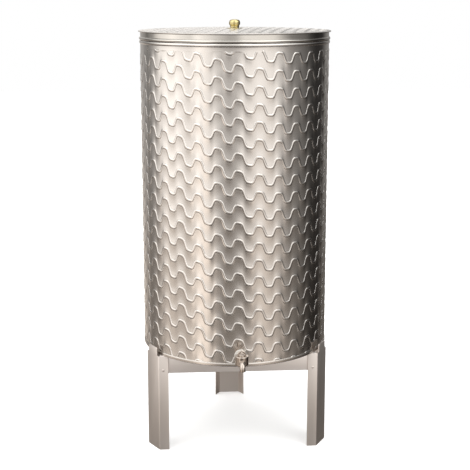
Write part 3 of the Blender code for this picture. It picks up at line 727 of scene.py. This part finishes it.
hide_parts("tap_boss")
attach(boss, "tank")
foot = boss_radius - WELD_BITE
rings = [[] for _ in range(WELD_RINGS)]
for a in turns_round(TAP_STEPS):
    wobble = 0.00012 * sin(9 * a) + 0.00008 * sin(14 * a + 1.0)
    for i, ring in enumerate(rings):
        swing = pi / 2 * i / (WELD_RINGS - 1)
        r = foot + (WELD_RUN + wobble) * cos(swing)
        sag = wall_radius - sqrt(wall_radius ** 2 - (r * cos(a)) ** 2)
        ring.append((r * cos(a), r * sin(a), (WELD_RISE + wobble) * sin(swing) - WELD_SINK - sag))
rings.append([(foot * cos(a), foot * sin(a), -WELD_ROOT) for a in turns_round(TAP_STEPS)])
bm = bmesh.new()
skin_rings(bm, rings, closed=True)
weld = finish_mesh("tap_boss_weld", bm, tap_steel, 40.0, out_of_wall)
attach(weld, "tank")

# The gasket is a ring of pale sealing sheet, nipped between the boss and the tap's collar, so its
# edge bulges a little.
GASKET_BULGE = 0.0004
gasket_low, gasket_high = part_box("tap_gasket")
gasket_radius = (gasket_high.x - gasket_low.x) / 2
gasket_start = wall_face - gasket_high.y
gasket_end = wall_face - gasket_low.y


def rubber_finish(name, colour, roughness):
    """Pale sealing sheet: matt, with a fine uneven grain."""
    material, tree, shader, place = new_finish(name, 0.0)
    shader.inputs["Roughness"].default_value = roughness
    grain = node(tree, "ShaderNodeTexNoise", {"Vector": place, "Scale": 900.0, "Detail": 3.0})
    coloured(tree, shader, grain, colour, [part * 0.85 for part in colour])
    bump = node(tree, "ShaderNodeBump", {"Height": grain, "Strength": 0.5, "Distance": 0.0001})
    tree.links.new(bump.outputs[0], shader.inputs["Normal"])
    return material


seal = rubber_finish("pale seal", (0.76, 0.75, 0.70), 0.55)
edge = gasket_radius - GASKET_BULGE
ring = [(BOSS_BORE, gasket_start, 0.0), (BOSS_BORE, gasket_end, 0.0), (edge, gasket_end, 0.0003)]
ring += [(gasket_radius, (gasket_start + gasket_end) / 2, 0.0006), (edge, gasket_start, 0.0003)]
gasket = turned("tap_gasket_ring", ring, seal, TAP_STEPS, out_of_wall)
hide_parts("tap_gasket")
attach(gasket, "tank")

# The tap's body is one plated casting: a hexagon collar, a short neck, an upright barrel and a
# spout that turns down. They meet in soft cast fillets, and are bored for the stem, cap and flow.
COLLAR_FLATS = 0.0240
COLLAR_THICK = 0.0060
COLLAR_BORE = 0.0040
NECK = 0.0080
TAIL = 0.0085
TAIL_START = 0.001
TAIL_LAP = 0.002
SPOUT_LAP = 0.003
BARREL_REACH = 0.0320
BARREL_EDGE = 0.0016
SPOUT = 0.0062
SPOUT_BORE = 0.0042
SPOUT_BEND = 0.0100
SPOUT_DROP = 0.0015
SPOUT_STEPS = 12
CAST_VOXEL = 0.00035
CAST_SMOOTHING = 6
CAST_ANGLE = 38
CAP_HOLE = 0.0073
CAP_GRIP = 0.0025
STEM_HOLE = 0.0043
BORE_STEPS = 48
CLEAR_OF = 0.01
body_low, body_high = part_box("tap_body")
gland_low, gland_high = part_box("tap_gland")
cap_low, cap_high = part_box("tap_base_cap")
stem_low, stem_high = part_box("tap_stem")
barrel_y = (stem_low.y + stem_high.y) / 2
at_barrel = Matrix.Translation((0.0, barrel_y, 0.0))
barrel_radius = (body_high.x - body_low.x) / 2
barrel_top = body_high.z
barrel_foot = cap_high.z - CAP_GRIP
collar_start = gasket_end + SEAT
chrome = metal_finish("plated casting", (0.44, 0.385, 0.34), 0.07, 150.0, 0.06, marks=0.0003)


def rod(radius, low, high, edge=0.0):
    """Profile of a solid round bar."""
    return [(0.0, low, 0.0), (radius, low, edge), (radius, high, edge), (0.0, high, 0.0)]


def swept(name, points, radius, across, steps=TAP_STEPS):
    """A round bar through points that lie in one plane, which the direction across stands on."""
    rings = []
    for i, here in enumerate(points):
        along = points[min(i + 1, len(points) - 1)] - points[max(i - 1, 0)]
        up = along.normalized().cross(across)
        rings.append([here + across * radius * cos(a) + up * radius * sin(a) for a in turns_round(steps)])
    bm = bmesh.new()
    skin_rings(bm, rings, closed=False)
    return finish_mesh(name, bm, chrome)


def cut(piece, tool):
    """Cuts a piece by another and drops the other."""
    modifier = piece.modifiers.new("cut", "BOOLEAN")
    modifier.operation = "DIFFERENCE"
    modifier.solver = "EXACT"
    modifier.object = tool
    settle(piece)
    bpy.data.objects.remove(tool, do_unlink=True)


def fused(name, parts, voxel, smoothing):
    """Joins overlapping parts into one body, remeshed so that they meet in soft cast fillets."""
    bm = bmesh.new()
    for part in parts:
        bm.from_mesh(part.data)
        bpy.data.objects.remove(part, do_unlink=True)
    piece = finish_mesh(name, bm, chrome)
    remesh = piece.modifiers.new("cast", "REMESH")
    remesh.mode = "VOXEL"
    remesh.voxel_size = voxel
    soften = piece.modifiers.new("soften", "SMOOTH")
    soften.iterations = smoothing
    settle(piece)
    return piece


barrel = rod(barrel_radius, barrel_foot, barrel_top, BARREL_EDGE)
parts = [turned("barrel", barrel, chrome, TAP_STEPS, at_barrel)]
tail = rod(TAIL, boss_foot + TAIL_START, collar_start + TAIL_LAP)
parts.append(turned("tail", tail, chrome, TAP_STEPS, out_of_wall))
parts.append(turned("neck", rod(NECK, collar_start, BARREL_REACH), chrome, TAP_STEPS, out_of_wall))
bm = bmesh.new()
hexagon = nut_rings(COLLAR_FLATS, COLLAR_BORE, collar_start, collar_start + COLLAR_THICK)
skin_rings(bm, hexagon, closed=True)
parts.append(finish_mesh("hexagon", bm, chrome, 25.0, out_of_wall))
spout_y = body_low.y + SPOUT
bend_z = tap_z - SPOUT_DROP - SPOUT_BEND
route = [Vector((0.0, barrel_y - SPOUT_LAP, bend_z + SPOUT_BEND))]
for k in range(SPOUT_STEPS + 1):
    turn = pi / 2 * k / SPOUT_STEPS
    route.append(Vector((0.0, spout_y + SPOUT_BEND * (1 - sin(turn)), bend_z + SPOUT_BEND * cos(turn))))
route.append(Vector((0.0, spout_y, body_low.z)))
parts.append(swept("spout", route, SPOUT, Vector((1.0, 0.0, 0.0))))
tap = fused("tap_casting", parts, CAST_VOXEL, CAST_SMOOTHING)
bores = [("stem hole", STEM_HOLE, stem_low.z - SEAT, barrel_top + CLEAR_OF, barrel_y),
         ("cap hole", CAP_HOLE, barrel_foot - CLEAR_OF, cap_high.z + SEAT, barrel_y),
         ("spout bore", SPOUT_BORE, body_low.z - CLEAR_OF, bend_z, spout_y)]
for label, radius, low, high, y in bores:
    there = Matrix.Translation((0.0, y, 0.0))
    cut(tap, turned(label, rod(radius, low, high), chrome, BORE_STEPS, there))
shade(tap.data, CAST_ANGLE)
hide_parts("tap_body")
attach(tap, "tank")

# The base cap screws in under the barrel, and the gland nut holds the stem down at its top. Both
# are turned and plated, with their edges chamfered.
CAP_HEIGHT = 0.0030
CAP_DIMPLE = 0.0004
CAP_SPIGOT = 0.0070
base_radius = (cap_high.x - cap_low.x) / 2
cap_shoulder = cap_low.z + CAP_HEIGHT
cap = [(0.0, cap_low.z + CAP_DIMPLE, 0.0), (base_radius * 0.55, cap_low.z + CAP_DIMPLE, 0.0004)]
cap += [(base_radius * 0.62, cap_low.z, 0.0004), (base_radius, cap_low.z, 0.0009)]
cap += [(base_radius, cap_shoulder, 0.0004), (CAP_SPIGOT, cap_shoulder, 0.0)]
cap += [(CAP_SPIGOT, cap_high.z, 0.0003), (0.0, cap_high.z, 0.0)]
base_cap = turned("tap_cap_turned", cap, chrome, TAP_STEPS, at_barrel)
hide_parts("tap_base_cap")
bm = bmesh.new()
gland_flats = gland_high.y - gland_low.y
skin_rings(bm, nut_rings(gland_flats, STEM_HOLE, gland_low.z, gland_high.z), closed=True)
gland = finish_mesh("tap_gland_nut", bm, chrome, 25.0, at_barrel)
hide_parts("tap_gland")
for piece in (base_cap, gland):
    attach(piece, "tank")

# The stem is a plain turned pin with rounded ends. The loop handle is cast in one with its hub,
# pressed on the stem, and plated.
STEM_EDGE = 0.0006
LOOP_ROUND = 0.0024
LOOP_FOOT = 0.0050
LOOP_STEPS = 32
HUB_RADIUS = 0.0064
HUB_HEIGHT = 0.0034
HANDLE_VOXEL = 0.0003
HANDLE_SMOOTHING = 8
key_low, key_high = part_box("tap_handle")
stem_radius = (stem_high.x - stem_low.x) / 2
pin = rod(stem_radius, stem_low.z, stem_high.z, STEM_EDGE)
stem = turned("tap_stem_turned", pin, chrome, BORE_STEPS, at_barrel)
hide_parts("tap_stem")
loop_radius = (key_high.x - key_low.x) / 2 - LOOP_ROUND
loop_z = key_high.z - loop_radius - LOOP_ROUND
hub_middle = key_low.z + HUB_HEIGHT / 2
hub_top = key_low.z + HUB_HEIGHT
route = [Vector((LOOP_FOOT, barrel_y, hub_middle))]
for k in range(LOOP_STEPS + 1):
    a = pi * k / LOOP_STEPS
    route.append(Vector((loop_radius * cos(a), barrel_y, loop_z + loop_radius * sin(a))))
route.append(Vector((-LOOP_FOOT, barrel_y, hub_middle)))
loop = swept("loop", route, LOOP_ROUND, Vector((0.0, 1.0, 0.0)), LOOP_STEPS)
hub = [(0.0, key_low.z, 0.0), (HUB_RADIUS, key_low.z, 0.0005), (HUB_RADIUS, hub_top, 0.0008)]
hub += [(0.0, hub_top, 0.0)]
parts = [loop, turned("hub", hub, chrome, TAP_STEPS, at_barrel)]
handle = fused("tap_loop_handle", parts, HANDLE_VOXEL, HANDLE_SMOOTHING)
hole = rod(STEM_HOLE, key_low.z - CLEAR_OF, stem_high.z + SEAT)
cut(handle, turned("stem hole", hole, chrome, BORE_STEPS, at_barrel))
shade(handle.data, CAST_ANGLE)
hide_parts("tap_handle")
for piece in (stem, handle):
    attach(piece, "tap_key")

# The stand is folded from plain stainless sheet: three channel legs brushed upright and three
# rails brushed lengthways. Their corners and cut edges are broken a little.
EDGE_BREAK = 0.0004
STAND_GRAIN = (380.0, 380.0, 24.0)
RAIL_GRAIN = (24.0, 24.0, 380.0)
stand_steel = steel_finish("stand sheet steel", (0.69, 0.635, 0.595), (0.63, 0.58, 0.545), 0.42,
                           STAND_GRAIN, brushing=0.35)
# The rails are the same sheet as the legs but coloured much lighter: a painted highlight, so they read as a
# bright lit strip under the tank.
rail_steel_painted_lighter = steel_finish("rail sheet steel painted lighter", (0.88, 0.83, 0.80), (0.82, 0.77, 0.745), 0.42,
                          RAIL_GRAIN, brushing=0.35)


def folded_copy(name, source, material):
    """A node's own folded shape, with its loose triangles merged and its edges broken."""
    mesh = frame["nodes"][source].data.copy()
    mesh.name = name
    bm = bmesh.new()
    bm.from_mesh(mesh)
    bmesh.ops.remove_doubles(bm, verts=bm.verts, dist=0.00002)
    bmesh.ops.dissolve_limit(bm, angle_limit=radians(0.5), verts=bm.verts, edges=bm.edges)
    bmesh.ops.recalc_face_normals(bm, faces=bm.faces)
    bm.to_mesh(mesh)
    bm.free()
    mesh.materials.clear()
    mesh.materials.append(material)
    piece = bpy.data.objects.new(name, mesh)
    bpy.context.scene.collection.objects.link(piece)
    bevel = piece.modifiers.new("edges", "BEVEL")
    bevel.width = EDGE_BREAK
    bevel.segments = 2
    bevel.limit_method = "ANGLE"
    bevel.angle_limit = radians(40)
    bevel.harden_normals = False
    settle(piece)
    shade(piece.data, 30)
    return piece


for place in ("rear", "left", "right"):
    leg = folded_copy("stand_leg_" + place, "leg_" + place, stand_steel)
    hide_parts("leg_" + place)
    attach(leg, "tank")
for place in ("front", "right", "left"):
    rail = folded_copy("stand_rail_" + place, "rail_" + place, rail_steel_painted_lighter)
    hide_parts("rail_" + place)
    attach(rail, "tank")

# One rivet holds each end of a rail to a leg's flange. Its head is a low dome, and it is the same
# at all six places round the stand.
RIVET_RADIUS = 0.0030
RIVET_RISE = 0.0012
RIVET_SINK = 0.0003
RIVET_SEGMENTS = 24
RIVET_OUT = 0.1680
RIVET_HEIGHT = 0.1890
SIDE_APOTHEM = 0.1325
rivet_sizes = {"Sides": 3, "Apothem": SIDE_APOTHEM, "Out": RIVET_OUT, "Height": RIVET_HEIGHT,
               "Axis Y": tank_axis.y, "Radius": RIVET_RADIUS, "Rise": RIVET_RISE,
               "Sink": RIVET_SINK, "Material": stand_steel}
tree, given = new_tree("rivets", rivet_sizes)
ball = {"Segments": RIVET_SEGMENTS, "Rings": RIVET_SEGMENTS // 2, "Radius": 1.0}
head = node(tree, "GeometryNodeMeshUVSphere", ball)
spot = parts_of(tree, "Position")
flat = calc(tree, "MULTIPLY", calc(tree, "MAXIMUM", spot["Y"], 0.0), given["Sink"])
dome = calc(tree, "MULTIPLY", calc(tree, "MINIMUM", spot["Y"], 0.0), given["Rise"])
wide = [calc(tree, "MULTIPLY", spot[side], given["Radius"]) for side in "XZ"]
shape = vector(tree, X=wide[0], Y=calc(tree, "ADD", flat, dome), Z=wide[1])
shaped = node(tree, "GeometryNodeSetPosition", {"Geometry": head, "Position": shape})
first = vector(tree, X=calc(tree, "MULTIPLY", given["Out"], -1.0),
               Y=calc(tree, "MULTIPLY", given["Apothem"], -1.0), Z=given["Height"])
apart = vector(tree, X=calc(tree, "MULTIPLY", given["Out"], 2.0))
pair = stacked(tree, 2, first, apart, shaped)
middle = {"Count": given["Sides"], "Start Location": vector(tree, Y=given["Axis Y"]), "Offset": (0, 0, 0)}
sides = node(tree, "GeometryNodeMeshLine", middle)
which = node(tree, "GeometryNodeInputIndex")
turn = calc(tree, "DIVIDE", calc(tree, "MULTIPLY", which, 2 * pi), given["Sides"])
pairs = {"Points": sides, "Instance": pair, "Rotation": vector(tree, Z=turn)}
dress(tree, node(tree, "GeometryNodeInstanceOnPoints", pairs), given["Material"])
rivets = grown("stand_rivets", tree, rivet_sizes)
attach(rivets, "tank")

# The studio: a wide pale floor under a white surround, and a world of soft light boxes that the
# polished wall mirrors as tall bright and dark bands.
FLOOR_HALF = 9.0
CAMERA_TURN = radians(-3.7)
TOP_BANDS = [(-180, 1.1), (-150, 0.9), (-125, 0.7), (-105, 1.7), (-80, 2.4), (-35, 2.6), (-22, 1.5),
             (-8, 1.2), (4, 1.5), (14, 2.4), (55, 2.8), (76, 2.0), (92, 0.9), (106, 0.3), (130, 0.12),
             (155, 0.6), (180, 1.5)]
HIGH_BANDS = [(-180, 0.95), (-170, 0.95), (-164, 0.50), (-150, 0.50), (-129, 0.24), (-114, 0.55),
              (-101, 1.4), (-80, 1.8), (-62, 1.45), (-53, 1.3), (-45, 1.8), (-37, 1.5), (-22, 1.12),
              (-7, 0.70), (2, 0.80), (12, 1.3), (23, 1.4), (47, 1.33), (60, 0.74), (72, 0.34),
              (92, 0.19), (104, 0.07), (116, 0.03), (132, 0.04), (146, 0.25), (164, 0.34), (180, 0.36)]
LOW_BANDS = [(-180, 1.00), (-165, 0.90), (-150, 0.58), (-129, 0.22), (-114, 0.30), (-101, 0.56),
             (-88, 0.90), (-76, 0.68), (-62, 0.70), (-53, 0.85), (-42, 1.55), (-34, 1.35), (-26, 0.50),
             (-14, 0.27), (-4, 0.33), (8, 0.28), (20, 0.50), (32, 1.0), (44, 0.78), (56, 0.60),
             (66, 0.32), (82, 0.20), (96, 0.10), (108, 0.04), (126, 0.02), (146, 0.14), (180, 0.12)]
TOP_TINT = (1.0, 1.0, 0.99)
HIGH_TINT = (1.0, 0.965, 0.93)
LOW_TINT = (1.0, 0.885, 0.785)
DIM_FLOOR = (0.14, 0.118, 0.10, 1.0)
DARK_FOOT = (0.03, 0.025, 0.02, 1.0)
CEILING = (2.6, 2.6, 2.58, 1.0)
GREY = (0.5, 0.5, 0.5, 1.0)
WHITE = (1.0, 1.0, 1.0, 1.0)
bm = bmesh.new()
bmesh.ops.create_grid(bm, x_segments=1, y_segments=1, size=FLOOR_HALF)
floor_mesh = bpy.data.meshes.new("studio_floor")
bm.to_mesh(floor_mesh)
bm.free()
floor = bpy.data.objects.new("studio_floor", floor_mesh)
bpy.context.scene.collection.objects.link(floor)
paper = bpy.data.materials.new("studio paper")
paper.use_nodes = True
shader = paper.node_tree.nodes["Principled BSDF"]
shader.inputs["Base Color"].default_value = (0.90, 0.90, 0.90, 1.0)
shader.inputs["Roughness"].default_value = 0.85
shader.inputs["Emission Color"].default_value = WHITE
shader.inputs["Emission Strength"].default_value = 0.35
floor_mesh.materials.append(paper)
floor.visible_glossy = False
world = bpy.data.worlds.new("studio light")
bpy.context.scene.world = world
world.use_nodes = True
tree = world.node_tree
background = tree.nodes["Background"]
way = node(tree, "ShaderNodeSeparateXYZ", {"Vector": node(tree, "ShaderNodeTexCoord").outputs["Generated"]})
back = calc(tree, "MULTIPLY", way.outputs["Y"], -1.0)
around = calc(tree, "SUBTRACT", calc(tree, "ARCTAN2", way.outputs["X"], back), CAMERA_TURN)
share = calc(tree, "FRACT", calc(tree, "MULTIPLY_ADD", around, 1 / (2 * pi), 0.5))


def light_ring(tree, share, bands, tint):
    """Light boxes round the object: brightness by the angle from the camera's side."""
    ramp = node(tree, "ShaderNodeValToRGB", {"Fac": share})
    stops = ramp.color_ramp.elements
    stops.remove(stops[1])
    stops[0].position = 0.0
    stops[0].color = [bands[0][1] * part for part in tint] + [1.0]
    for degrees, level in bands[1:]:
        stops.new((degrees + 180) / 360).color = [level * part for part in tint] + [1.0]
    return ramp.outputs["Color"]


def mixed(tree, factor, first, second):
    """Mixes two colours by a factor."""
    ends = {"Factor": factor, "A": first, "B": second}
    return node(tree, "ShaderNodeMix", ends, data_type="RGBA").outputs["Result"]


def faded(tree, value, start, end, first, second):
    """Mixes two colours as a value goes from start to end."""
    part = node(tree, "ShaderNodeMapRange", {"Value": value, "From Min": start, "From Max": end})
    return mixed(tree, part, first, second)


top_ring = light_ring(tree, share, TOP_BANDS, TOP_TINT)
high_ring = light_ring(tree, share, HIGH_BANDS, HIGH_TINT)
low_ring = light_ring(tree, share, LOW_BANDS, LOW_TINT)
rise = way.outputs["Z"]
lit = faded(tree, rise, -0.28, -0.08, low_ring, high_ring)
lit = faded(tree, rise, -0.60, -0.44, DIM_FLOOR, lit)
lit = faded(tree, rise, -0.76, -0.66, mixed(tree, 0.45, top_ring, GREY), lit)
lit = faded(tree, rise, -0.84, -0.76, DARK_FOOT, lit)
lit = faded(tree, rise, 0.14, 0.36, lit, top_ring)
lit = faded(tree, rise, 0.90, 0.98, lit, CEILING)
seen = node(tree, "ShaderNodeLightPath").outputs["Is Camera Ray"]
tree.links.new(mixed(tree, seen, lit, WHITE), background.inputs["Color"])

# The camera stands a little left of the tap, above the tank's middle, and looks down on it.
LENS = 82.08
PITCH = radians(11.48)
DISTANCE = 2.417
CAMERA_RISE = 0.791
SHIFT_ACROSS = 0.0009
SHIFT_UP = -0.05
camera = bpy.data.cameras.new("photo_camera")
camera.lens = LENS
camera.sensor_width = 36.0
camera.shift_x = SHIFT_ACROSS
camera.shift_y = SHIFT_UP
camera.clip_end = 60.0
eye = bpy.data.objects.new("photo_camera", camera)
bpy.context.scene.collection.objects.link(eye)
eye_y = tank_axis.y - cos(CAMERA_TURN) * DISTANCE
eye.location = (sin(CAMERA_TURN) * DISTANCE, eye_y, base_z + CAMERA_RISE)
eye.rotation_euler = (pi / 2 - PITCH, 0.0, CAMERA_TURN)
bpy.context.scene.camera = eye
bpy.context.scene.view_settings.view_transform = "Standard"

bpy.context.view_layer.update()
